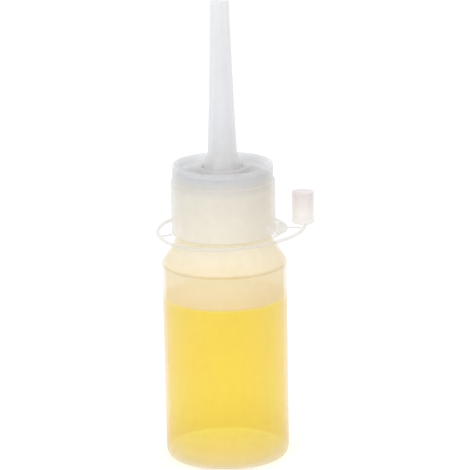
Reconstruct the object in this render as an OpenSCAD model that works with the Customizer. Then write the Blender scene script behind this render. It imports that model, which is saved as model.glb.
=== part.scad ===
// A 50 ml squeeze bottle for chain oil, in translucent soft plastic: a blown bottle with a
// threaded neck, a long spout held in the neck by a screw cap, and a moulded tether that
// carries the little cap for the spout's tip.
// Millimetres, +Z up. The origin is on the bottle's axis, in the plane that it stands on.

/* [Bottle] */
// Outer diameter of the straight body
body_d = 37.5; // [36:0.5:42]
// Height at which the straight body turns into the shoulder
shoulder_z = 59.7; // [50:0.5:75]
// Height of the shoulder cone, from the body's top corner to the foot of the neck
shoulder_rise = 9.3; // [8.5:0.1:11]
// Wall thickness of the blown body
wall = 0.9; // [0.6:0.05:1.3]
// Radius of the rounded edge at the base
base_round = 4; // [2.5:0.25:6]
// Radius of the rounded edge at the shoulder
shoulder_round = 1.6; // [1.4:0.1:2.5]
// Width of the flat ring that the bottle stands on
foot_w = 1.4; // [0.8:0.1:2.5]
// Height of the dome that is pushed up into the base
push_up = 1.4; // [0.8:0.1:2]

/* [Oil] */
// Level of the oil above the ground
oil_z = 49.6; // [15:0.5:49.9]
// Film between the oil and the bottle's wall
oil_film = 0.05; // [0.02:0.01:0.1]

/* [Neck] */
// Diameter of the neck at the root of its thread
neck_d = 25.2; // [24.6:0.1:26]
// Bore of the neck
neck_bore_d = 21.6; // [20:0.1:22.4]
// Height of the neck above the shoulder cone
neck_h = 15.6; // [15:0.1:18]

/* [Thread] */
// Rise of the thread in one turn
thread_pitch = 4.23; // [3.8:0.01:4.6]
// Turns of thread on the neck
thread_turns = 1.5; // [1:0.05:1.6]
// Turns of thread in the cap
cap_turns = 1.3; // [1:0.05:1.4]
// How far the neck's thread stands out
thread_h = 1.1; // [0.8:0.05:1.2]
// Width of each thread's crest
thread_crest = 0.9; // [0.7:0.05:1]
// Slope of the thread's flanks
flank_angle = 30; // [20:1:35]
// Radial gap between each thread's crest and the wall that it faces
thread_play = 0.25; // [0.15:0.01:0.35]
// Gap between the flanks that draw the cap down
flank_gap = 0.12; // [0.08:0.01:0.2]
// Angle over which a thread fades in and out at its ends
thread_fade = 30; // [15:5:45]

/* [Screw cap] */
// Wall thickness of the cap's skirt
cap_wall = 1.35; // [1.1:0.05:1.8]
// How much the skirt narrows from its lower edge to its step
cap_draft = 0.1; // [0.05:0.01:0.2]
// Width of the step between the skirt and the ring above it
cap_step = 0.45; // [0.3:0.05:0.6]
// Height of the ring above the step
ring_h = 4.1; // [3.6:0.1:5]
// Wall thickness of the rim round the recessed top
rim_wall = 1.3; // [1:0.05:1.6]
// Depth of the recess in the cap's top
recess_depth = 2.15; // [1.6:0.05:2.4]
// Thickness of the cap's top plate
plate_t = 1.35; // [1.1:0.05:1.8]
// Diameter of the hole in the top plate, which turns on the spout's hub
hole_d = 14.6; // [13.8:0.1:14.8]

/* [Spout] */
// Length of the spout above the floor of the cap's recess
spout_len = 50; // [35:0.5:60]
// Diameter of the spout's tip
tip_d = 5.4; // [4.8:0.1:6]
// Diameter of the spout where its flare starts
spout_d = 8.5; // [7.8:0.1:9.4]
// Share of the taper that gathers towards the foot
taper_bias = 0.26; // [0:0.02:0.5]
// Diameter of the spout's foot, at the bottom of its flare
foot_d = 11; // [10.4:0.1:11.8]
// Height of the flare
flare_h = 5; // [3.5:0.1:8]
// Diameter of the outlet at the tip
outlet_d = 1.8; // [1.2:0.1:2.4]
// Diameter of the passage at the spout's foot
passage_d = 6.4; // [5.4:0.1:6.8]
// Diameter of the bead that snaps over the cap's top plate
bead_d = 15.8; // [15.2:0.1:17]
// Height of that bead above the plate
bead_h = 1.3; // [1:0.05:1.8]
// Width of the groove between the bead and the spout's foot
groove_w = 0.5; // [0.3:0.05:0.7]
// Depth of that groove
groove_depth = 0.7; // [0.3:0.05:0.9]
// Radial gap between the spout's flange and the bore of the cap
flange_play = 0.75; // [0.3:0.05:1]
// Thickness of the flange
flange_t = 1; // [0.8:0.05:1.4]
// Length of the plug that seals in the neck
plug_len = 4.5; // [3:0.1:6]
// Wall thickness of the plug
plug_wall = 1; // [0.7:0.05:1.4]
// Running gap between the spout and what it turns, slides or seats in
seat_gap = 0.05; // [0.03:0.01:0.08]

/* [Tether] */
// Radial gap between the neck and the tether's collar
collar_play = 1.05; // [0.8:0.05:1.3]
// Width of the collar
collar_w = 1.55; // [1.3:0.05:1.7]
// Thickness of the collar
collar_t = 0.95; // [0.8:0.05:1.3]
// Gap that leaves the collar free, above it and where it seats on the shoulder
collar_gap = 0.15; // [0.1:0.01:0.25]
// Diameter of the strap
strap_d = 1.05; // [0.9:0.05:1.4]
// Distance from the cap's skirt to the strap's centre line
strap_reach = 4.1; // [3.6:0.1:5.5]
// How much further out the strap's end lies, under the tip cap
strap_end = 4.8; // [4.4:0.1:6]
// How far the strap rises above the collar behind the bottle
strap_rise = 1.4; // [0.8:0.1:2]
// Direction in which the collar's ear points
ear_angle = 18; // [8:1:28]
// Half of the angle that the ear spreads over
ear_spread = 40; // [32:1:52]
// Thickness of the ear
ear_t = 0.6; // [0.5:0.05:0.8]
// Diameter of the thin links that hold the strap in shape
link_d = 0.5; // [0.4:0.05:0.7]
// Direction in which the link between the collar and the strap leaves the collar
link_angle = 182; // [170:1:195]

/* [Tip cap] */
// Height of the tip cap
tip_cap_h = 9.5; // [8:0.1:12]
// Thickness of its closed end
tip_cap_floor = 1.4; // [1:0.1:2]
// Wall thickness of the tip cap
tip_cap_wall = 0.56; // [0.5:0.01:0.9]
// Gap between its bore and the spout's tip
tip_cap_gap = 0.08; // [0.04:0.01:0.15]
// How far its axis lies inside the strap's end
tip_cap_inset = 0.7; // [0.3:0.1:1.2]

/* [Moulding] */
// Broken edges on the moulded pieces
edge = 0.3; // [0.2:0.05:0.35]
// How deep the ribs, the ear and the links sink into what carries them
sink = 0.35; // [0.25:0.05:0.5]

/* [Hidden] */
$fn = 96;

natural_plastic = "Ivory";
oil_colour = "Gold";
clear_plastic = "GhostWhite";

// Steps of the round and swept shapes
thread_step = 7.5;
strap_rings = 119;
strap_sides = 8;
flare_steps = 10;
taper_steps = 8;
ear_steps = 24;

// How late the flare spreads on its way down
flare_power = 1.3;

// Share of its height that a thread keeps at its very ends
thread_tip = 0.1;

// Radii and angles of the bottle
body_r = body_d / 2;
neck_r = neck_d / 2;
bore_r = neck_bore_d / 2;
shoulder_lean = atan((body_r - neck_r) / shoulder_rise);
neck_z = shoulder_z + shoulder_rise;
rim_z = neck_z + neck_h;
dome_w = body_r - base_round - foot_w;
dome_r = (dome_w * dome_w + push_up * push_up) / (2 * push_up);

// The collar seats on the shoulder cone, and the cap's skirt ends just above it
collar_in = neck_r + collar_play;
collar_out = collar_in + collar_w;
collar_z = shoulder_z + (body_r - collar_in + collar_gap) / tan(shoulder_lean);
skirt_z = collar_z + collar_t + collar_gap;

// Levels of the spout and the cap, upwards from the neck's rim
flange_z = rim_z + seat_gap;
plate_z = flange_z + flange_t + seat_gap;
floor_z = plate_z + plate_t;
cap_top_z = floor_z + recess_depth;
step_z = cap_top_z - ring_h;
spout_top_z = floor_z + spout_len;

// The two threads, which share their pitch and flanks
thread_r = neck_r + thread_h;
cap_bore_r = thread_r + thread_play;
cap_thread_r = neck_r + thread_play;
cap_r = cap_bore_r + cap_wall;
ring_r = cap_r - cap_draft - cap_step;
thread_top_z = rim_z - edge - thread_crest / 2 - thread_h * tan(flank_angle) - sink;
thread_start_z = thread_top_z - thread_pitch * thread_turns;
thread_drop = thread_crest + (thread_r - cap_thread_r) * tan(flank_angle) + flank_gap;

// The spout's radii and the foot of its flare
tip_r = tip_d / 2;
spout_r = spout_d / 2;
foot_r = foot_d / 2;
bead_r = bead_d / 2;
bead_z = floor_z + bead_h;
groove_z = bead_z - groove_depth;
flare_z = groove_z + flare_h;
plug_r = bore_r - seat_gap;
flange_r = cap_bore_r - flange_play;
hub_r = hole_d / 2 - seat_gap;

// The strap's route: its angle round the bottle, how far it lies off the loop, and how high
// it is above the collar's middle as a share of strap_rise. Off the loop, -1 is the collar's
// outer edge, where the strap springs from, and 1 is the strap's end under the tip cap.
strap_route = [
    [-35, -1.08, 0], [-20, -1, 0], [-6, -0.72, 0], [6, -0.32, 0.02], [15, -0.09, 0.08],
    [27, 0, 0.26], [50, 0, 0.65], [90, 0.01, 1], [135, 0.01, 0.9], [170, 0, 0.7],
    [195, 0, 0.42], [225, 0, 0.05], [262, 0, 0.06], [295, 0.05, 0.4], [320, 0.2, 0.52],
    [340, 0.47, 0.58], [350, 0.69, 0.68], [358, 0.87, 0.95], [364, 1, 1.27],
    [372, 1.17, 1.75]
];
ear_point = strap_route[4];
side_point = strap_route[10];
end_point = strap_route[17];
strap_r = cap_r + strap_reach;
strap_z = collar_z + collar_t / 2;

// Where the tip cap stands: on the strap's end, a little inside its centre line
tip_cap_r = tip_r + tip_cap_gap + tip_cap_wall;
tip_cap_angle = 5.5;
tip_cap_z = route_end()[2] + strap_d / 2 - sink / 2;

// A point on a smooth curve through p1 and p2, with p0 and p3 beside them
function curve(p0, p1, p2, p3, t) =
    0.5 * (2 * p1 + (p2 - p0) * t + (2 * p0 - 5 * p1 + 4 * p2 - p3) * t * t
        + (3 * p1 - p0 - 3 * p2 + p3) * t * t * t);

// A route point as a place in space
function route_place(p) =
    let (r = strap_r + p[1] * (p[1] < 0 ? strap_r - collar_out : strap_end))
    [r * cos(p[0]), r * sin(p[0]), strap_z + p[2] * strap_rise];

// A place on the strap's centre line, from 0 at the collar to 1 under the tip cap
function strap_at(share) =
    let (
        spans = len(strap_route) - 3,
        at = min(share, 0.9999) * spans,
        i = floor(at)
    )
    route_place(curve(strap_route[i], strap_route[i + 1], strap_route[i + 2],
        strap_route[i + 3], at - i));

function route_end() = route_place(strap_route[len(strap_route) - 2]);

function unit(v) = v / norm(v);

// Joins rings of points, in order, into one closed solid
module sweep(rings) {
    n = len(rings[0]);
    last = len(rings) - 1;
    sides = [
        for (i = [0:last - 1], j = [0:n - 1])
            let (a = i * n + j, b = i * n + (j + 1) % n)
            each [[a, b + n, b], [a, a + n, b + n]]
    ];
    ends = [[for (j = [0:n - 1]) j], [for (j = [n - 1:-1:0]) last * n + j]];
    polyhedron([for (ring = rings) each ring], concat(sides, ends));
}

// One ring of a helical rib, at the angle a: its root is sunk in the wall at root_r
function rib_ring(root_r, crest_r, a, z, fade) =
    let (
        out = crest_r > root_r ? 1 : -1,
        foot_r = root_r - out * sink,
        top_r = root_r + (crest_r - root_r) * fade,
        half = thread_crest / 2,
        foot_half = half + (abs(crest_r - root_r) + sink) * tan(flank_angle),
        section = [[foot_r, -foot_half], [foot_r, foot_half], [top_r, half], [top_r, -half]],
        ordered = out > 0 ? section : [for (i = [3:-1:0]) section[i]]
    )
    [for (p = ordered) [p[0] * cos(a), p[0] * sin(a), z + p[1]]];

// A helical rib that climbs from start_z and fades at both ends
module rib(root_r, crest_r, start_z, turns) {
    sweep_angle = 360 * turns;
    steps = ceil(sweep_angle / thread_step);
    sweep([
        for (i = [0:steps])
            let (
                a = sweep_angle * i / steps,
                fade = min(1, thread_tip + min(a, sweep_angle - a) / thread_fade)
            )
            rib_ring(root_r, crest_r, a, start_z + thread_pitch * a / 360, fade)
    ]);
}

// Half section of the bottle's form, drawn in by inset, with a neck of top_r up to top_z
module vessel_section(inset, top_r, top_z) {
    r = body_r - inset;
    foot_r = base_round - inset;
    corner_r = shoulder_round - inset;
    corner_z = shoulder_z - inset * tan(shoulder_lean / 2);
    arc_z = corner_z - corner_r * tan(shoulder_lean / 2);
    cone_z = corner_z + (r - top_r) / tan(shoulder_lean);
    polygon([
        [0, inset], [r - foot_r, inset], [r, inset + foot_r], [r, arc_z],
        [r - corner_r + corner_r * cos(shoulder_lean), arc_z + corner_r * sin(shoulder_lean)],
        [top_r, cone_z], [top_r, top_z], [0, top_z]
    ]);
    translate([r - foot_r, inset + foot_r]) circle(r = foot_r);
    translate([r - corner_r, arc_z]) circle(r = corner_r);
}

// The ball that pushes the base up, grown by the thickness of what lies on it
module dome(grow) {
    translate([0, 0, push_up - dome_r]) sphere(r = dome_r + grow);
}

module bottle() {
    color(natural_plastic) {
        difference() {
            rotate_extrude() vessel_section(0, neck_r, rim_z);
            difference() {
                rotate_extrude() vessel_section(wall, bore_r, rim_z + sink);
                dome(wall);
            }
            dome(0);
        }
        rib(neck_r, thread_r, thread_start_z, thread_turns);
    }
}

module oil_fill() {
    inset = wall + oil_film;
    color(oil_colour, 0.8) difference() {
        rotate_extrude() intersection() {
            vessel_section(inset, bore_r - oil_film, rim_z);
            square([body_r, oil_z]);
        }
        dome(inset);
    }
}

// Radius of the spout at a share of its way from the tip to the flare
function taper_r(share) =
    tip_r + (spout_r - tip_r) * ((1 - taper_bias) * share + taper_bias * share * share);

// Radius of the spout at a share of its way down the flare, which starts and ends upright
function flare_r(share) = spout_r + (foot_r - spout_r) * pow(sin(90 * share), flare_power);

module spout() {
    flare = [
        for (i = [flare_steps:-1:0])
            let (share = i / flare_steps)
            [flare_r(share), flare_z - share * flare_h]
    ];
    taper = [
        for (i = [taper_steps - 1:-1:1])
            let (share = i / taper_steps)
            [taper_r(share), spout_top_z - share * (spout_top_z - flare_z)]
    ];
    plug_z = flange_z - plug_len;
    color(clear_plastic) rotate_extrude() polygon(concat(
        [
            [plug_r - plug_wall, plug_z], [plug_r - edge, plug_z], [plug_r, plug_z + 2 * edge],
            [plug_r, flange_z], [flange_r, flange_z], [flange_r, flange_z + flange_t],
            [hub_r, flange_z + flange_t], [hub_r, floor_z + seat_gap],
            [bead_r, floor_z + seat_gap], [bead_r, bead_z - edge], [bead_r - edge, bead_z],
            [foot_r + groove_w + edge, bead_z], [foot_r + groove_w, bead_z - edge],
            [foot_r + groove_w, groove_z]
        ],
        flare, taper,
        [
            [tip_r, spout_top_z - 2 * edge], [tip_r - edge, spout_top_z - edge / 2],
            [tip_r - 2 * edge, spout_top_z], [outlet_d / 2, spout_top_z],
            [passage_d / 2, flange_z + flange_t], [passage_d / 2 + flange_t, flange_z],
            [plug_r - plug_wall, flange_z]
        ]
    ));
}

module screw_cap() {
    color(natural_plastic) {
        rotate_extrude() polygon([
            [cap_bore_r + edge, skirt_z], [cap_r - edge, skirt_z], [cap_r, skirt_z + edge],
            [cap_r - cap_draft, step_z - edge], [cap_r - cap_draft - edge, step_z],
            [ring_r, step_z], [ring_r - cap_draft / 2, cap_top_z - edge],
            [ring_r - edge, cap_top_z], [ring_r - rim_wall, cap_top_z],
            [ring_r - rim_wall - edge / 2, cap_top_z - edge / 2],
            [ring_r - rim_wall - edge / 2, floor_z], [hole_d / 2, floor_z],
            [hole_d / 2, plate_z], [cap_bore_r, plate_z], [cap_bore_r, skirt_z + edge]
        ]);
        rib(cap_bore_r, cap_thread_r, thread_start_z - thread_drop, cap_turns);
    }
}

// A thin straight link between two places
module link(from, to) {
    way = to - from;
    translate(from)
        rotate([0, acos(way[2] / norm(way)), atan2(way[1], way[0])])
            cylinder(h = norm(way), d = link_d);
}

module strap() {
    sweep([
        for (i = [0:strap_rings])
            let (
                share = i / strap_rings,
                here = strap_at(share),
                along = unit(strap_at(min(1, share + 0.004)) - strap_at(max(0, share - 0.004))),
                side = unit(cross([0, 0, 1], along)),
                up = cross(along, side)
            )
            [
                for (j = [0:strap_sides - 1])
                    let (a = 360 * (j + 0.5) / strap_sides)
                    here + strap_d / 2 * (cos(a) * side + sin(a) * up)
            ]
    ]);
}

// The flat lobe between the collar and the strap where it leaves the collar
module ear() {
    lobe = strap_r + strap_d / 4 - collar_out;
    outer = [
        for (i = [0:ear_steps])
            let (
                off = ear_spread * (2 * i / ear_steps - 1),
                r = collar_out - sink / 2 + lobe * pow(cos(90 * off / ear_spread), 2)
            )
            [r * cos(ear_angle + off), r * sin(ear_angle + off)]
    ];
    inner = [
        for (i = [ear_steps:-1:0])
            let (off = ear_spread * (2 * i / ear_steps - 1), r = collar_out - 2 * sink)
            [r * cos(ear_angle + off), r * sin(ear_angle + off)]
    ];
    translate([0, 0, strap_z - ear_t / 2])
        linear_extrude(ear_t) polygon(concat(outer, inner));
}

module tip_cap() {
    r = route_end();
    bore = tip_r + tip_cap_gap;
    reach = norm([r[0], r[1]]) - tip_cap_inset;
    rotate(tip_cap_angle) translate([reach, 0, tip_cap_z]) rotate_extrude() polygon([
        [0, 0], [tip_cap_r - edge, 0], [tip_cap_r, edge], [tip_cap_r, tip_cap_h - edge / 2],
        [tip_cap_r - edge / 2, tip_cap_h], [bore + edge / 2, tip_cap_h],
        [bore, tip_cap_h - edge / 2], [bore, tip_cap_floor], [0, tip_cap_floor]
    ]);
}

module cap_tether() {
    link_r = collar_out - sink;
    color(clear_plastic) {
        translate([0, 0, collar_z]) difference() {
            cylinder(h = collar_t, r = collar_out);
            translate([0, 0, -sink]) cylinder(h = collar_t + 2 * sink, r = collar_in);
        }
        ear();
        strap();
        tip_cap();
        link([link_r * cos(link_angle), link_r * sin(link_angle), strap_z],
            route_place(side_point));
        link(route_place(ear_point), route_place(end_point));
    }
}

bottle();
oil_fill();
spout();
screw_cap();
cap_tether();
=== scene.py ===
# How the 50 ml chain oil bottle looks: a translucent squeeze bottle with oil in it, its spout,
# its screw cap and the moulded tether with the little cap for the spout's tip.
import math

import bmesh
import bpy
from mathutils import Matrix, Vector


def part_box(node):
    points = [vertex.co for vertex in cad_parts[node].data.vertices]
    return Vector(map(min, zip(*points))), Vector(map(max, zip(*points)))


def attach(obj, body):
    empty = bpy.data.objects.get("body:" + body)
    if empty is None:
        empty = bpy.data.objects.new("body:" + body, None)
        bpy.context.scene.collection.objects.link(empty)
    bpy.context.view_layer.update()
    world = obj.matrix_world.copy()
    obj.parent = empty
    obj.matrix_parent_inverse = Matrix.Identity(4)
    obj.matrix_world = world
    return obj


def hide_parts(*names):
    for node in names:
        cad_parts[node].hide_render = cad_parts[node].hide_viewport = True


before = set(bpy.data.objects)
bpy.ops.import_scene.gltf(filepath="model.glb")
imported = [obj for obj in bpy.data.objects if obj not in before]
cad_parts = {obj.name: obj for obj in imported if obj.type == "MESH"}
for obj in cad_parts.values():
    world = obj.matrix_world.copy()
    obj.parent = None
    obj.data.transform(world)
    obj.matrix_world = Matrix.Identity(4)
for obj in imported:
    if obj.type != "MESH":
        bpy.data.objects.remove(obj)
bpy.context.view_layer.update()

# Lengths in this script are millimetres until a mesh is made
MM = 0.001


def node_box(node):
    """The lowest and the highest corner of one of the frame's nodes."""
    low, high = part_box(node)
    return low / MM, high / MM


# Levels and radii that the frame gives
_, bottle_high = node_box("bottle")
_, oil_high = node_box("oil_fill")
spout_low, spout_high = node_box("spout")
cap_low, cap_high = node_box("screw_cap")
tether_low, _ = node_box("cap_tether")

# The photograph shows the body a hair slimmer than the construction has it
SLIMMER = 0.4
BODY_R = bottle_high.x - SLIMMER
RIM_Z = bottle_high.z
OIL_Z = oil_high.z
SPOUT_TOP = spout_high.z
PLUG_Z = spout_low.z
SKIRT_Z = cap_low.z
CAP_TOP = cap_high.z
CAP_R = cap_high.x
COLLAR_Z = tether_low.z

# How near a point lies to a surface that it counts as on it
NEAR = 0.01

# Edges that bend more than this are shown sharp
SHARP = math.radians(35)

# The bottle
NECK_R = 12.6
BORE_R = 10.8
SHOULDER_Z = 59.7
SHOULDER_RISE = 9.3
WALL = 0.9
BASE_ROUND = 4
SHOULDER_ROUND = 1.6
NECK_ROUND = 0.7
RIM_ROUND = 0.35
FOOT_W = 1.4
PUSH_UP = 1.4
FLOOR_EDGE = 0.4
WALL_MESH = 3
DOME_STEPS = 24
NECK_Z = SHOULDER_Z + SHOULDER_RISE
LEAN = math.atan((BODY_R - NECK_R) / SHOULDER_RISE)
DOME_W = BODY_R - BASE_ROUND - FOOT_W
DOME_R = (DOME_W ** 2 + PUSH_UP ** 2) / (2 * PUSH_UP)

# The mould's marks: two parting lines up the body, and the pinched seam across the base
PARTING_H = 0.03
PARTING_W = 0.8
SEAM_H = 0.3
SEAM_W = 0.9
SEAM_REACH = 11
SEAM_FADE = 2

# The oil, whose edge climbs the wall in a curl
OIL_FILM = 0.05
CURL_W = 1.6
CURL_H = 0.45

# The thread
PITCH = 4.23
NECK_TURNS = 1.5
CAP_TURNS = 1.3
THREAD_H = 1.1
CREST = 0.9
FLANK = math.radians(30)
THREAD_PLAY = 0.25
FLANK_GAP = 0.12
FADE = math.radians(30)
THREAD_TIP = 0.1
THREAD_MARGIN = 0.5
THREAD_MESH = 0.16
SINK = 0.35
EDGE = 0.3
THREAD_TOP = RIM_Z - EDGE - CREST / 2 - THREAD_H * math.tan(FLANK) - SINK
THREAD_START = THREAD_TOP - PITCH * NECK_TURNS
THREAD_DROP = CREST + (THREAD_H - THREAD_PLAY) * math.tan(FLANK) + FLANK_GAP

# The screw cap. The shelf between its skirt and its ring slopes, a little under the solid's step
CAP_BORE_R = NECK_R + THREAD_H + THREAD_PLAY
CAP_DRAFT = 0.1
CAP_STEP = 0.45
RING_H = 4.1
RIM_WALL = 1.3
RECESS = 2.15
PLATE_T = 1.35
HOLE_R = 7.3
LIP_W = 0.55
RECESS_SLOPE = 0.4
SHELF_FOOT = 0.9
SHELF_TOP = 0.45
RING_R = CAP_R - CAP_DRAFT - CAP_STEP
FLOOR_Z = CAP_TOP - RECESS
PLATE_Z = FLOOR_Z - PLATE_T
STEP_Z = CAP_TOP - RING_H

# The spout
TIP_R = 2.7
SPOUT_R = 4.25
TAPER_BIAS = 0.26
FOOT_R = 5.5
FLARE_H = 5
FLARE_POWER = 1.3
OUTLET_R = 0.9
PASSAGE_R = 3.2
PASSAGE_CHAMFER = 1
BEAD_R = 7.9
BEAD_Z = FLOOR_Z + 1.3
GROOVE_R = FOOT_R + 0.5
GROOVE_Z = BEAD_Z - 0.7
FLARE_Z = GROOVE_Z + FLARE_H
PLUG_WALL = 1
SEAT_GAP = 0.05
FLANGE_T = 1
FLANGE_R = CAP_BORE_R - 0.75
PLUG_R = BORE_R - SEAT_GAP
FLANGE_Z = RIM_Z + SEAT_GAP
SPOUT_STEPS = 24
SPOUT_SEAM_H = 0.05
SPOUT_SEAM_W = 0.5

# The tether
COLLAR_IN = NECK_R + 1.05
COLLAR_OUT = COLLAR_IN + 1.55
COLLAR_T = 0.95
STRAP_D = 1.05
STRAP_R = CAP_R + 4.1
STRAP_END = 4.8
STRAP_RISE = 1.4
STRAP_Z = COLLAR_Z + COLLAR_T / 2
STRAP_STEPS = 240
EAR_ANGLE = math.radians(18)
EAR_SPREAD = math.radians(40)
EAR_T = 0.6
EAR_STEPS = 48
EAR_LAYERS = 6
LINK_D = 0.5
LINK_ANGLE = math.radians(182)
LINK_STEPS = 12

# The strap's way round the bottle: the angle in degrees, how far it lies off its loop (-1 at
# the collar, 1 at the tip cap) and its height over the collar's middle, as a share of STRAP_RISE
STRAP_ROUTE = [
    (-35, -1.08, 0), (-20, -1, 0), (-6, -0.72, 0), (6, -0.32, 0.02), (15, -0.09, 0.08),
    (27, 0, 0.26), (50, 0, 0.65), (90, 0.01, 1), (135, 0.01, 0.9), (170, 0, 0.7),
    (195, 0, 0.42), (225, 0, 0.05), (262, 0, 0.06), (295, 0.05, 0.4), (320, 0.2, 0.52),
    (340, 0.47, 0.58), (350, 0.69, 0.68), (358, 0.87, 0.95), (364, 1, 1.27),
    (372, 1.17, 1.75),
]
EAR_POINT = STRAP_ROUTE[4]
SIDE_POINT = STRAP_ROUTE[10]
END_POINT = STRAP_ROUTE[17]

# The tip cap
TIP_CAP_H = 9.5
TIP_CAP_FLOOR = 1.4
TIP_CAP_BORE = TIP_R + 0.08
TIP_CAP_R = TIP_CAP_BORE + 0.56
TIP_CAP_INSET = 0.7
TIP_CAP_ANGLE = math.radians(5.5)

# What the materials share. A noise is its scale, its detail and how it is stretched
MOTTLE = (420, 3)
FLOW = (260, 2, (1, 1, 0.06))
GRAIN = (2600, 2)
PLASTIC_IOR = 1.51
OIL_IOR = 1.47

# Colours as they look on screen, by height in millimetres
# The outer faces' tones. The dark stop just under SHOULDER_Z is painted shade: a dark line for the
# light that the shoulder's corner bends away.
BOTTLE_OUTER_AND_PAINTED_CORNER_SHADE = [
    (OIL_Z, (255, 248, 226)), (54, (255, 250, 234)), (SHOULDER_Z - 0.9, (255, 251, 236)),
    (SHOULDER_Z - 0.3, (226, 204, 150)), (SHOULDER_Z + 0.4, (255, 248, 228)),
    (64, (255, 252, 240)), (NECK_Z, (255, 253, 248)),
]
# The inner faces: golden near the oil, from its film on the wall and from painted yellow light that
# the oil casts up. The pale stops at the neck are painted light that lifts the shade under the cap.
BOTTLE_INNER_FILM_AND_PAINTED_OIL_LIGHT = [
    (OIL_Z, (255, 223, 128)), (54, (255, 236, 172)), (64, (255, 247, 222)),
    (NECK_Z, (255, 253, 244)),
]
BOTTLE_WET = [
    (0, (236, 219, 170)), (7, (248, 221, 120)), (16, (255, 230, 114)), (30, (255, 224, 100)),
    (OIL_Z, (255, 228, 106)),
]
SPOUT_TONES = [
    (PLUG_Z, (232, 232, 235)), (FLOOR_Z, (231, 231, 233)), (FLARE_Z, (235, 235, 236)),
    (104, (241, 241, 243)), (SPOUT_TOP, (242, 242, 243)),
]
# The skirt's stops are the cap's own pale colour. From just under the step up, the grey, faintly
# blue stops are painted shade over the ring and in the recess, with a painted cool reflection on
# the top.
CAP_TONES_WITH_PAINTED_SHADE = [
    (SKIRT_Z, (251, 249, 244)), (76, (251, 250, 246)), (82, (249, 248, 245)),
    (STEP_Z - 0.5, (232, 232, 234)), (CAP_TOP - 1, (225, 226, 229)), (CAP_TOP, (230, 231, 233)),
]
TETHER_TONES = [
    (COLLAR_Z, (238, 235, 231)), (STRAP_Z + 2, (243, 239, 235)), (73, (255, 252, 249)),
    (76, (247, 240, 238)), (80, (235, 226, 224)),
]

# The studio, in metres and watts
FLOOR_HALF = 4
LAMP_AIM = (0, 0, 0.07)
LAMPS = [
    ("key", (-0.7, -0.8, 0.45), 0.6, 5.2, (0.95, 0.985, 1)),
    ("fill", (0.8, -0.6, 0.35), 0.6, 2.3, (1, 0.965, 0.94)),
    ("top", (0.1, 0.3, 1), 0.5, 1.4, (1, 1, 1)),
]
CAMERA_PLACE = (0.00325, -0.6517, 0.2457)
CAMERA_DOWN = math.radians(15.3)
CAMERA_ROLL = math.radians(-1.04)


# Sections: lists of (radius, height) points

def rounded(corners, closed=True, steps=5):
    """The corners' outline, each (r, z) or (r, z, round) corner broken by its rounding radius."""
    points = []
    count = len(corners)
    for i, corner in enumerate(corners):
        here = Vector(corner[:2])
        radius = corner[2] if len(corner) > 2 else 0
        at_end = not closed and i in (0, count - 1)
        if radius == 0 or at_end:
            points.append(tuple(here))
            continue
        back = Vector(corners[i - 1][:2]) - here
        ahead = Vector(corners[(i + 1) % count][:2]) - here
        half = back.angle(ahead) / 2
        cut = min(radius / math.tan(half), 0.49 * back.length, 0.49 * ahead.length)
        start = here + back.normalized() * cut
        end = here + ahead.normalized() * cut
        for k in range(steps + 1):
            t = k / steps
            points.append(tuple(start * (1 - t) ** 2 + here * 2 * t * (1 - t) + end * t * t))
    return points


def finer(points, longest, where):
    """The same outline with each stretch that where() picks cut to no more than longest."""
    out = [points[0]]
    for a, b in zip(points, points[1:]):
        middle = ((a[0] + b[0]) / 2, (a[1] + b[1]) / 2)
        cuts = math.ceil(math.dist(a, b) / longest) if where(*middle) else 1
        for i in range(1, cuts + 1):
            out.append(tuple(a[k] + (b[k] - a[k]) * i / cuts for k in (0, 1)))
    return out


def turned(points, closed=True, sides=144, shape=None, offset=(0, 0, 0)):
    """Verts and faces of a section turned about Z. shape(r, z, angle) may move a point."""
    verts, faces, rings = [], [], []
    for r, z in points:
        angles = [0] if r < 1e-6 else [2 * math.pi * j / sides for j in range(sides)]
        rings.append(range(len(verts), len(verts) + len(angles)))
        for a in angles:
            radius, height = shape(r, z, a) if shape else (r, z)
            place = (radius * math.cos(a), radius * math.sin(a), height)
            verts.append(tuple(o + p for o, p in zip(offset, place)))
    pairs = list(zip(rings, rings[1:])) + ([(rings[-1], rings[0])] if closed else [])
    for low, high in pairs:
        for j in range(sides):
            k = (j + 1) % sides
            if len(low) == 1 and len(high) == 1:
                break
            if len(low) == 1:
                faces.append((low[0], high[k], high[j]))
            elif len(high) == 1:
                faces.append((low[j], low[k], high[0]))
            else:
                faces.append((low[j], low[k], high[k], high[j]))
    return verts, faces


def bump(x, width):
    """A smooth hump, 1 at x = 0 and about 0 beyond the width."""
    return math.exp(-((2 * x / width) ** 2))


def ease(x):
    """A smooth step from 0 at x = 0 to 1 at x = 1."""
    x = min(1, max(0, x))
    return x * x * (3 - 2 * x)


def thread_height(angle, z, start_z, turns):
    """How far a helical rib stands out at this angle and height."""
    rise = 0
    foot = CREST / 2 + THREAD_H * math.tan(FLANK)
    for lap in range(math.ceil(turns)):
        a = angle + 2 * math.pi * lap
        end = 2 * math.pi * turns - a
        if end < 0:
            continue
        fade = min(1, THREAD_TIP + a / FADE, THREAD_TIP + end / FADE)
        off = abs(z - start_z - PITCH * a / (2 * math.pi))
        rise = max(rise, fade * ease((foot - off) / (foot - CREST / 2)))
    return rise * THREAD_H


# Pieces

def piece(name, verts, faces, body, slot, material, *nodes):
    """An object made from millimetres, which rides on a body and stands for nodes if it has one."""
    mesh = bpy.data.meshes.new(name)
    mesh.from_pydata([Vector(v) * MM for v in verts], [], faces)
    work = bmesh.new()
    work.from_mesh(mesh)
    bmesh.ops.recalc_face_normals(work, faces=work.faces)
    work.to_mesh(mesh)
    work.free()
    obj = bpy.data.objects.new(name, mesh)
    bpy.context.scene.collection.objects.link(obj)
    mesh.shade_smooth()
    mesh.set_sharp_from_angle(angle=SHARP)
    if material:
        mesh.materials.append(material)
    if body:
        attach(obj, body)
        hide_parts(*nodes)
    return obj


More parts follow.
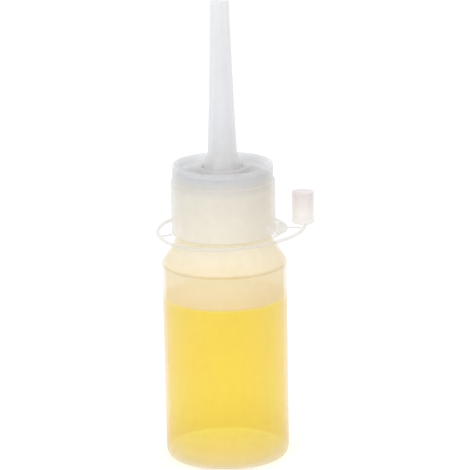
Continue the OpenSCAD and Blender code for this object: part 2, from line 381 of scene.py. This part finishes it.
def vessel(inset, top_r):
    """The bottle's form from the foot up, drawn in by inset, as rounded() takes it."""
    r = BODY_R - inset
    corner_z = SHOULDER_Z - inset * math.tan(LEAN / 2)
    cone_z = corner_z + (r - top_r) / math.tan(LEAN)
    return [
        (r, inset, BASE_ROUND - inset),
        (r, corner_z, SHOULDER_ROUND - inset),
        (top_r, cone_z, NECK_ROUND),
        (top_r, RIM_Z, RIM_ROUND),
    ]


def dome(grow, reach, steps):
    """The pushed-up base, grown outward, from the axis to where it is only reach high."""
    low = PUSH_UP - DOME_R
    far = math.sqrt((DOME_R + grow) ** 2 - (reach - low) ** 2)
    rs = [far * i / steps for i in range(steps + 1)]
    return [(r, low + math.sqrt((DOME_R + grow) ** 2 - r * r)) for r in rs]


def bottle_section():
    """The bottle's wall: up its outside, down its inside and back over its floor to the axis."""
    up = [(DOME_W, 0)] + vessel(0, NECK_R) + [(BORE_R, RIM_Z)]
    down = [(BORE_R, RIM_Z)] + vessel(WALL, BORE_R)[-2::-1] + [(DOME_W + FLOOR_EDGE, WALL)]
    outside = dome(0, 0, DOME_STEPS) + rounded(up, closed=False, steps=8)[1:]
    inside = rounded(down, closed=False, steps=8)
    floor = dome(WALL, WALL, DOME_STEPS)[::-1]

    def is_neck(r, z):
        return z > NECK_Z and r > NECK_R - NEAR

    def is_wall(r, z):
        return r > BODY_R - WALL - NEAR

    path = finer(outside + inside[1:] + floor, THREAD_MESH, is_neck)
    return finer(path, WALL_MESH, is_wall)


def bottle_shape(r, z, angle):
    """The thread on the neck, the fine parting lines, and the pinched seam across the base."""
    if r > NECK_R - NEAR and NECK_Z - THREAD_MARGIN < z < RIM_Z - EDGE:
        r += thread_height(angle, z, THREAD_START, NECK_TURNS)
    if r > BODY_R - WALL / 2 and 1 < z < SHOULDER_Z:
        r -= PARTING_H * (1 - bump(math.sin(angle) * r, PARTING_W))
    if z <= PUSH_UP + NEAR and r < DOME_W:
        z -= SEAM_H * bump(r * math.sin(angle), SEAM_W) * ease((SEAM_REACH - r) / SEAM_FADE)
    return r, z


def make_bottle(material):
    verts, faces = turned(bottle_section(), closed=False, sides=192, shape=bottle_shape)
    return piece("bottle_shell", verts, faces, "bottle", "body_plastic", material, "bottle")


def make_oil(material, surface_material):
    inset = WALL + OIL_FILM
    side = BODY_R - inset
    still_z = OIL_Z - CURL_H
    shares = [i / 8 for i in range(1, 9)]
    curl = [(side - CURL_W * t, OIL_Z - CURL_H * (1 - (1 - t) ** 3)) for t in shares]
    wall = [(DOME_W + FLOOR_EDGE, inset), (side, inset, BASE_ROUND - inset), (side, OIL_Z)]
    surface = [(side * t, still_z) for t in (0.6, 0.3, 0)]
    path = dome(inset, inset, 16) + rounded(wall, closed=False, steps=8)[1:] + curl + surface
    verts, faces = turned(path, closed=False, sides=144)
    obj = piece("oil", verts, faces, "bottle", "oil", material, "oil_fill")
    obj.data.materials.append(surface_material)
    for face in obj.data.polygons:
        looks_up = face.normal.z > 0.15
        if looks_up and face.center.z > (OIL_Z - 1) * MM:
            face.material_index = 1
    return obj


def spout_radius(share):
    """Radius of the spout at a share of its way from the tip to the flare."""
    return TIP_R + (SPOUT_R - TIP_R) * ((1 - TAPER_BIAS) * share + TAPER_BIAS * share * share)


def flare_radius(share):
    """Radius of the spout at a share of its way down the flare."""
    return SPOUT_R + (FOOT_R - SPOUT_R) * math.sin(math.pi / 2 * share) ** FLARE_POWER


def spout_shape(r, z, angle):
    """The fine parting lines up the spout."""
    if z > FLARE_Z and r > OUTLET_R + 1.2:
        r += SPOUT_SEAM_H * bump(math.cos(angle) * r, SPOUT_SEAM_W)
    return r, z


def make_spout(material):
    hub_r = HOLE_R - SEAT_GAP
    seat = FLOOR_Z + SEAT_GAP
    flange_top = FLANGE_Z + FLANGE_T
    plug_in = PLUG_R - PLUG_WALL
    foot = rounded([
        (plug_in, FLANGE_Z, 0.3), (plug_in, PLUG_Z, 0.2), (PLUG_R - EDGE, PLUG_Z, 0.2),
        (PLUG_R, PLUG_Z + 2 * EDGE, 0.4), (PLUG_R, FLANGE_Z, 0.1), (FLANGE_R, FLANGE_Z, 0.2),
        (FLANGE_R, flange_top, 0.2), (hub_r, flange_top, 0.15), (hub_r, seat, 0.05),
        (BEAD_R, seat, 0.15), (BEAD_R, BEAD_Z, 0.5), (GROOVE_R, BEAD_Z, 0.5),
        (GROOVE_R, GROOVE_Z, 0.2), (FOOT_R, GROOVE_Z),
    ], closed=False, steps=4)
    shares = [i / SPOUT_STEPS for i in range(SPOUT_STEPS - 1, -1, -1)]
    flare = [(flare_radius(s), FLARE_Z - s * FLARE_H) for s in shares]
    taper = [(spout_radius(s), SPOUT_TOP - s * (SPOUT_TOP - FLARE_Z)) for s in shares[:-1]]
    top = rounded([
        taper[-1], (TIP_R, SPOUT_TOP, 0.5), (OUTLET_R, SPOUT_TOP, 0.15),
        (PASSAGE_R, flange_top, 0.5), (PASSAGE_R + PASSAGE_CHAMFER, FLANGE_Z, 0.3),
        (plug_in, FLANGE_Z),
    ], closed=False, steps=6)[1:-1]
    verts, faces = turned(foot + flare + taper + top, sides=96, shape=spout_shape)
    return piece("spout_moulding", verts, faces, "spout", "spout_plastic", material, "spout")


def cap_shape(r, z, angle):
    """The thread in the cap's bore."""
    if abs(r - CAP_BORE_R) < NEAR and SKIRT_Z + EDGE < z < PLATE_Z - THREAD_MARGIN:
        r -= thread_height(angle, z, THREAD_START - THREAD_DROP, CAP_TURNS)
    return r, z


def make_cap(material):
    path = rounded([
        (CAP_BORE_R, SKIRT_Z, 0.3), (CAP_R, SKIRT_Z, 0.3),
        (CAP_R - CAP_DRAFT, STEP_Z - SHELF_FOOT, 0.4), (RING_R, STEP_Z - SHELF_TOP, 0.4),
        (RING_R - CAP_DRAFT / 2, CAP_TOP, 0.3), (RING_R - LIP_W, CAP_TOP, 0.25),
        (RING_R - RIM_WALL - RECESS_SLOPE, FLOOR_Z, 0.6),
        (HOLE_R, FLOOR_Z, 0.12), (HOLE_R, PLATE_Z, 0.12), (CAP_BORE_R, PLATE_Z, 0.3),
    ])

    def is_bore(r, z):
        return abs(r - CAP_BORE_R) < NEAR and z < PLATE_Z - THREAD_MARGIN

    path = finer(path + path[:1], THREAD_MESH, is_bore)[:-1]
    verts, faces = turned(path, sides=192, shape=cap_shape)
    return piece("screw_cap_moulding", verts, faces, "cap", "cap_plastic", material, "screw_cap")


# The tether

def route_place(point):
    """Where a point of STRAP_ROUTE lies."""
    radius = STRAP_R + point[1] * (STRAP_R - COLLAR_OUT if point[1] < 0 else STRAP_END)
    a = math.radians(point[0])
    return Vector((radius * math.cos(a), radius * math.sin(a), STRAP_Z + point[2] * STRAP_RISE))


def strap_at(share):
    """The strap's middle at a share of its way, on a smooth curve through the route."""
    spans = len(STRAP_ROUTE) - 3
    at = min(share, 0.9999) * spans
    i = math.floor(at)
    t = at - i
    p0, p1, p2, p3 = [Vector(p) for p in STRAP_ROUTE[i:i + 4]]
    smooth = 2 * p1 + (p2 - p0) * t + (2 * p0 - 5 * p1 + 4 * p2 - p3) * t * t
    return route_place(0.5 * (smooth + (3 * p1 - p0 - 3 * p2 + p3) * t ** 3))


def swept(places, radius_at, sides):
    """A round bar along places, closed flat at both ends."""
    verts = []
    count = len(places)
    for i, here in enumerate(places):
        along = (places[min(i + 1, count - 1)] - places[max(i - 1, 0)]).normalized()
        side = Vector((0, 0, 1)).cross(along).normalized()
        up = along.cross(side)
        radius = radius_at(i / (count - 1))
        for j in range(sides):
            a = 2 * math.pi * j / sides
            verts.append(here + radius * (math.cos(a) * side + math.sin(a) * up))
    return verts, stacked(sides, count - 1)


def stacked(ring, layers):
    """The faces of a closed solid whose verts come in rings of the same count, one per layer."""
    faces = []
    for i in range(layers):
        low, high = i * ring, (i + 1) * ring
        for j in range(ring):
            k = (j + 1) % ring
            faces.append((low + j, low + k, high + k, high + j))
    faces.append(tuple(range(ring))[::-1])
    faces.append(tuple(range(layers * ring, (layers + 1) * ring)))
    return faces


def blunt(share, length, radius):
    """A bar's radius near its ends, which are rounded like a ball."""
    off = min(share, 1 - share) * length / radius
    return radius * math.sqrt(max(0.02, 1 - (1 - min(1, off)) ** 2))


def make_ear():
    """The flat lobe between the collar and the strap where it leaves the collar."""
    lobe = STRAP_R + STRAP_D / 4 - COLLAR_OUT
    root_r = COLLAR_OUT - 3 * SINK
    offs = [EAR_SPREAD * (2 * i / EAR_STEPS - 1) for i in range(EAR_STEPS + 1)]
    verts = []
    for layer in range(EAR_LAYERS + 1):
        a = math.pi * (layer / EAR_LAYERS - 0.5)
        height = STRAP_Z + EAR_T / 2 * math.sin(a)
        rim = []
        for off in offs:
            reach = lobe * math.cos(math.pi / 2 * off / EAR_SPREAD) ** 2
            rim.append((COLLAR_OUT - SINK / 2 + reach - EAR_T / 2 * (1 - math.cos(a)), off))
        for r, off in rim + [(root_r, off) for off in reversed(offs)]:
            verts.append((r * math.cos(EAR_ANGLE + off), r * math.sin(EAR_ANGLE + off), height))
    return verts, stacked(2 * (EAR_STEPS + 1), EAR_LAYERS)


def union(base, others):
    """Joins closed meshes into one, and removes the others."""
    for other in others:
        modifier = base.modifiers.new("join", "BOOLEAN")
        modifier.operation = "UNION"
        modifier.solver = "EXACT"
        modifier.object = other
    graph = bpy.context.evaluated_depsgraph_get()
    mesh = bpy.data.meshes.new_from_object(base.evaluated_get(graph))
    base.modifiers.clear()
    base.data = mesh
    for other in others:
        bpy.data.objects.remove(other)
    return base


def make_tether(material):
    collar_top = COLLAR_Z + COLLAR_T
    collar = rounded([
        (COLLAR_IN, COLLAR_Z, 0.2), (COLLAR_OUT, COLLAR_Z, 0.2),
        (COLLAR_OUT, collar_top, 0.3), (COLLAR_IN, collar_top, 0.2),
    ])
    end = route_place(STRAP_ROUTE[-2])
    reach = math.hypot(end.x, end.y) - TIP_CAP_INSET
    foot = (
        reach * math.cos(TIP_CAP_ANGLE), reach * math.sin(TIP_CAP_ANGLE),
        end.z + STRAP_D / 2 - SINK / 2,
    )
    tip_cap = rounded([
        (0, 0), (TIP_CAP_R, 0, 0.6), (TIP_CAP_R, TIP_CAP_H, 0.25),
        (TIP_CAP_BORE, TIP_CAP_H, 0.25), (TIP_CAP_BORE, TIP_CAP_FLOOR, 0.4), (0, TIP_CAP_FLOOR),
    ], closed=False)
    strap = [strap_at(i / STRAP_STEPS) for i in range(STRAP_STEPS + 1)]
    length = sum((b - a).length for a, b in zip(strap, strap[1:]))
    link_r = COLLAR_OUT - SINK
    link_root = Vector((link_r * math.cos(LINK_ANGLE), link_r * math.sin(LINK_ANGLE), STRAP_Z))
    parts = [
        turned(collar, sides=144),
        make_ear(),
        swept(strap, lambda share: blunt(share, length, STRAP_D / 2), 20),
        turned(tip_cap, closed=False, sides=64, offset=foot),
    ]
    for a, b in [
        (link_root, route_place(SIDE_POINT)), (route_place(EAR_POINT), route_place(END_POINT)),
    ]:
        link = [a.lerp(b, i / LINK_STEPS) for i in range(LINK_STEPS + 1)]
        parts.append(swept(link, lambda share: LINK_D / 2, 12))
    bits = [piece(f"tether_bit_{i}", *part, None, None, None) for i, part in enumerate(parts)]
    obj = union(bits[0], bits[1:])
    obj.name = "tether_moulding"
    obj.data.materials.clear()
    obj.data.materials.append(material)
    obj.data.shade_smooth()
    obj.data.set_sharp_from_angle(angle=SHARP)
    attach(obj, "tether")
    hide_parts("cap_tether")
    return obj


# Materials

def linear(red, green, blue):
    """A colour given as it looks on screen, 0 to 255, as the shaders want it."""
    parts = [c / 255 for c in (red, green, blue)]
    return tuple(((c + 0.055) / 1.055) ** 2.4 if c > 0.04 else c / 12.92 for c in parts) + (1,)


class Nodes:
    """The nodes of a material or a world, with short calls to add and link them."""

    def __init__(self, owner, output="ShaderNodeOutputMaterial"):
        owner.use_nodes = True
        self.owner = owner
        self.tree = owner.node_tree
        self.tree.nodes.clear()
        self.output = self.add(output)

    def feed(self, socket, value):
        """Gives a socket a value, or links it to the socket that the value comes from."""
        if isinstance(value, bpy.types.NodeSocket):
            self.tree.links.new(value, socket)
        else:
            socket.default_value = value

    def add(self, kind, links=None, **settings):
        """A node; settings are its own properties, and links its sockets' values or sources."""
        node = self.tree.nodes.new(kind)
        for key, value in settings.items():
            setattr(node, key, value)
        for key, value in (links or {}).items():
            self.feed(node.inputs[key], value)
        return node

    def done(self, **shaders):
        """Links the shaders to the output's sockets, and gives the finished material or world."""
        for name, shader in shaders.items():
            self.feed(self.output.inputs[name], shader)
        return self.owner

    def combine(self, operation, a, b):
        return self.add("ShaderNodeMath", {0: a, 1: b}, operation=operation).outputs[0]

    def place(self):
        return self.add("ShaderNodeTexCoord").outputs["Object"]

    def level(self):
        """The height over the ground, in metres."""
        return self.add("ShaderNodeSeparateXYZ", {0: self.place()}).outputs["Z"]

    def radius(self):
        """The distance from the bottle's axis, in metres."""
        flat = self.shade(self.place(), (1, 1, 0))
        return self.add("ShaderNodeVectorMath", {0: flat}, operation="LENGTH").outputs["Value"]

    def noise(self, scale, detail=2, stretch=(1, 1, 1)):
        mapping = self.add("ShaderNodeMapping", {"Vector": self.place(), "Scale": stretch})
        links = {"Vector": mapping.outputs[0], "Scale": scale, "Detail": detail}
        return self.add("ShaderNodeTexNoise", links).outputs["Fac"]

    def spread(self, value, low, high, start=0.3, end=0.7):
        """Maps value from start..end to low..high, clamped."""
        links = {"Value": value, "From Min": start, "From Max": end, "To Min": low, "To Max": high}
        return self.add("ShaderNodeMapRange", links).outputs[0]

    def height(self, low, high):
        """0 below the height low and 1 above the height high, in millimetres."""
        return self.spread(self.level(), 0, 1, low * MM, high * MM)

    def outside(self, low, high):
        """1 beyond a radius that runs from low to high, each (radius, height) in millimetres."""
        limit = self.spread(self.level(), low[0] * MM, high[0] * MM, low[1] * MM, high[1] * MM)
        return self.combine("GREATER_THAN", self.radius(), limit)

    def by_height(self, stops):
        """A colour that runs through (height in millimetres, screen colour) stops."""
        low, high = stops[0][0], stops[-1][0]
        ramp = self.add("ShaderNodeValToRGB", {0: self.height(low, high)})
        elements = ramp.color_ramp.elements
        for height, _ in stops[1:-1]:
            elements.new((height - low) / (high - low))
        for element, (height, colour) in zip(elements, stops):
            element.position = (height - low) / (high - low)
            element.color = linear(*colour)
        return ramp.outputs[0]

    def shade(self, colour, amount):
        """The product, part by part, of a colour or place and an amount or three of them."""
        node = self.add("ShaderNodeVectorMath", {0: colour, 1: amount}, operation="MULTIPLY")
        return node.outputs[0]

    def mix(self, share, a, b):
        """Colour a at share 0 and b at share 1."""
        return self.add("ShaderNodeMix", {0: share, 6: a, 7: b}, data_type="RGBA").outputs[2]

    def blend(self, share, a, b):
        """Shader a at share 0 and b at share 1."""
        return self.add("ShaderNodeMixShader", {0: share, 1: a, 2: b}).outputs[0]

    def bumps(self, layers):
        """Stacked bumps, each (noise, strength, depth in millimetres)."""
        normal = None
        for noise, strength, depth in layers:
            links = {"Height": self.noise(*noise), "Strength": strength, "Distance": depth * MM}
            if normal:
                links["Normal"] = normal
            normal = self.add("ShaderNodeBump", links).outputs[0]
        return normal

    def clear(self):
        return self.add("ShaderNodeBsdfTransparent").outputs[0]

    def absorb(self, colour, density):
        """A volume that takes light out of what passes through it."""
        links = {"Color": colour, "Density": density}
        return self.add("ShaderNodeVolumeAbsorption", links).outputs[0]

    def seen_rays(self):
        """1 for the rays that show the background: the camera's, and those off gloss and glass."""
        path = self.add("ShaderNodeLightPath").outputs
        seen = self.combine("MAXIMUM", path["Is Camera Ray"], path["Is Glossy Ray"])
        return self.combine("MAXIMUM", seen, path["Is Transmission Ray"])

    def milky(self, tone, veil, glow, rough, sheen, bumps):
        """A plastic face that light passes straight through, less the share that it scatters.
        veil is that share, and glow how much of it comes out on the far side."""
        mottle = self.noise(*MOTTLE)
        tone = self.shade(tone, self.spread(mottle, 1, 0.97, 0.35, 0.68))
        normal = self.bumps(bumps)
        gloss = self.add("ShaderNodeBsdfPrincipled", {
            "Base Color": tone, "Roughness": self.spread(mottle, rough - 0.05, rough + 0.07),
            "Normal": normal, "IOR": PLASTIC_IOR, "Sheen Weight": sheen, "Sheen Roughness": 0.6,
        })
        through = self.add("ShaderNodeBsdfTranslucent", {"Color": tone, "Normal": normal})
        scatter = self.blend(glow, gloss.outputs[0], through.outputs[0])
        share = self.combine("MULTIPLY", veil, self.spread(self.noise(*FLOW), 0.98, 1.02))
        return self.blend(share, self.clear(), scatter)


def soft_plastic(name, tones, veil, glow, rough, inner=None, thin=None):
    """Translucent soft plastic, with tones by height and veil and glow as milky() takes them.
    inner is the limit between inner and outer faces, as outside() takes it, and the inner faces'
    tone and veil. thin is the stretch of heights over which the veil falls, and the share left."""
    n = Nodes(bpy.data.materials.new(name))
    tone = n.by_height(tones)
    if inner:
        low, high, inner_tone, inner_veil = inner
        outer = n.outside(low, high)
        tone = n.mix(outer, linear(*inner_tone), tone)
        veil = n.spread(outer, inner_veil, veil, 0, 1)
    if thin:
        low, high, left = thin
        veil = n.combine("MULTIPLY", veil, n.spread(n.height(low, high), 1, left, 0, 1))
    bumps = [(GRAIN, 0.06, 0.015), ((150, 2), 0.16, 0.08), (FLOW, 0.08, 0.04)]
    return n.done(Surface=n.milky(tone, veil, glow, rough, 0.5, bumps))


def bottle_plastic():
    """The bottle's wall: milky cream over the air, clearer and golden where the oil wets it."""
    n = Nodes(bpy.data.materials.new("bottle_plastic"))
    dry = n.height(OIL_Z - 0.6, OIL_Z + 0.4)
    outer = n.outside((BODY_R - WALL / 2, SHOULDER_Z), (NECK_R - WALL, NECK_Z))
    # The inner faces carry the oil's film and painted yellow light from the oil
    dry_tone = n.mix(outer, n.by_height(BOTTLE_INNER_FILM_AND_PAINTED_OIL_LIGHT), n.by_height(BOTTLE_OUTER_AND_PAINTED_CORNER_SHADE))
    tone = n.mix(dry, n.by_height(BOTTLE_WET), dry_tone)
    # The veil of the inner faces, and of the outer ones: it rises on the cone and at the foot
    dry_outer = n.spread(n.height(SHOULDER_Z - 1.2, SHOULDER_Z - 0.4), 0.3, 0.52, 0, 1)
    wet_outer = n.spread(n.height(4, 14), 0.58, 0.4, 0, 1)
    dry_veil = n.spread(outer, 0.46, dry_outer, 0, 1)
    wet_veil = n.spread(outer, 0.08, wet_outer, 0, 1)
    veil = n.spread(dry, wet_veil, dry_veil, 0, 1)
    bumps = [(GRAIN, 0.03, 0.015), ((120, 2), 0.08, 0.08)]
    return n.done(
        Surface=n.milky(tone, veil, 0.5, 0.35, 1, bumps),
        Volume=n.absorb(linear(255, 232, 186), 6),
    )


def oil_body():
    """Clear yellow oil, whose depth of colour follows the way that the light goes through it."""
    n = Nodes(bpy.data.materials.new("oil_body"))
    haze = n.mix(n.spread(n.noise(90), 0, 1), linear(255, 222, 96), linear(250, 208, 80))
    scatter = n.add("ShaderNodeBsdfTranslucent", {"Color": haze}).outputs[0]
    return n.done(
        Surface=n.blend(0.05, n.clear(), scatter),
        Volume=n.absorb((1, 0.962, 0.18, 1), 60),
    )


def oil_surface():
    """The oil's top: a still, glossy surface whose pale tone is a painted reflection of the wall
    above it.
    """
    n = Nodes(bpy.data.materials.new("oil_surface"))
    tone = n.mix(n.spread(n.noise(220), 0, 1), linear(250, 226, 170), linear(244, 218, 158))
    ripple = n.bumps([((180, 2), 0.2, 0.1)])
    mirror = n.add("ShaderNodeBsdfPrincipled", {
        "Base Color": tone, "Roughness": 0.12, "IOR": OIL_IOR, "Normal": ripple,
    }).outputs[0]
    return n.done(Surface=n.blend(0.62, n.clear(), mirror))


# Studio

def studio_floor():
    """Pale paper that takes the object's shadow and shows as white where none falls."""
    n = Nodes(bpy.data.materials.new("floor_paper"))
    grain = n.spread(n.noise(700, 3), 0, 1)
    tone = n.mix(grain, (0.56, 0.56, 0.56, 1), (0.54, 0.54, 0.54, 1))
    paper = n.add("ShaderNodeBsdfDiffuse", {"Color": tone})
    strength = n.combine("MULTIPLY", n.seen_rays(), 0.54)
    shine = n.add("ShaderNodeEmission", {"Color": (1, 1, 1, 1), "Strength": strength})
    both = n.add("ShaderNodeAddShader", {0: paper.outputs[0], 1: shine.outputs[0]})
    mesh = bpy.data.meshes.new("floor")
    quarters = ((-1, -1), (1, -1), (1, 1), (-1, 1))
    corners = [(x * FLOOR_HALF, y * FLOOR_HALF, 0) for x, y in quarters]
    mesh.from_pydata(corners, [], [(0, 1, 2, 3)])
    obj = bpy.data.objects.new("floor", mesh)
    bpy.context.scene.collection.objects.link(obj)
    mesh.materials.append(n.done(Surface=both.outputs[0]))


def studio_world():
    """Soft light from all round, behind a white background."""
    bpy.context.scene.world = bpy.data.worlds.new("studio")
    n = Nodes(bpy.context.scene.world, "ShaderNodeOutputWorld")
    ambient = n.add("ShaderNodeBackground", {"Color": (0.97, 0.98, 1, 1), "Strength": 0.78})
    white = n.add("ShaderNodeBackground", {"Color": (1, 1, 1, 1), "Strength": 1})
    n.done(Surface=n.blend(n.seen_rays(), ambient.outputs[0], white.outputs[0]))


def lamp(name, place, size, watts, colour):
    """A round soft lamp that shines on the bottle."""
    light = bpy.data.lights.new(name, "AREA")
    light.shape = "DISK"
    light.size = size
    light.energy = watts
    light.color = colour
    obj = bpy.data.objects.new(name, light)
    bpy.context.scene.collection.objects.link(obj)
    obj.location = place
    obj.rotation_euler = (Vector(LAMP_AIM) - Vector(place)).to_track_quat("-Z", "Y").to_euler()


def studio_camera():
    """The photograph's view: from the front, a little above, and turned a touch about its axis."""
    data = bpy.data.cameras.new("camera")
    data.sensor_width = 36
    data.lens = 176.2
    data.clip_start = 0.01
    data.clip_end = 50
    obj = bpy.data.objects.new("camera", data)
    bpy.context.scene.collection.objects.link(obj)
    tilt = Matrix.Rotation(math.pi / 2 - CAMERA_DOWN, 4, "X")
    roll = Matrix.Rotation(CAMERA_ROLL, 4, "Z")
    obj.matrix_world = Matrix.Translation(CAMERA_PLACE) @ tilt @ roll
    bpy.context.scene.camera = obj


make_bottle(bottle_plastic())
make_oil(oil_body(), oil_surface())
make_spout(soft_plastic("spout_plastic", SPOUT_TONES, veil=0.62, glow=0.45, rough=0.34))
make_cap(soft_plastic(
    "cap_plastic", CAP_TONES_WITH_PAINTED_SHADE, veil=0.57, glow=0.25, rough=0.33,
    # The inner faces' cream is painted warm light from the oil bottle inside the cap
    inner=((CAP_BORE_R + 0.3, PLATE_Z - 0.1), (0, PLATE_Z + 0.1), (251, 238, 209), 0.48),
    thin=(FLOOR_Z, CAP_TOP, 0.6),
))
make_tether(soft_plastic(
    "tether_plastic", TETHER_TONES, veil=0.41, glow=0.45, rough=0.36,
    inner=((COLLAR_OUT + 0.05, 0), (COLLAR_OUT + 0.05, 100), (255, 244, 205), 0.12),
))

studio_floor()
studio_world()
for settings in LAMPS:
    lamp(*settings)
studio_camera()

bpy.context.scene.view_settings.view_transform = "Standard"
# Light goes through up to twelve plastic faces where the cap covers the neck
bpy.context.scene.cycles.transparent_max_bounces = 24
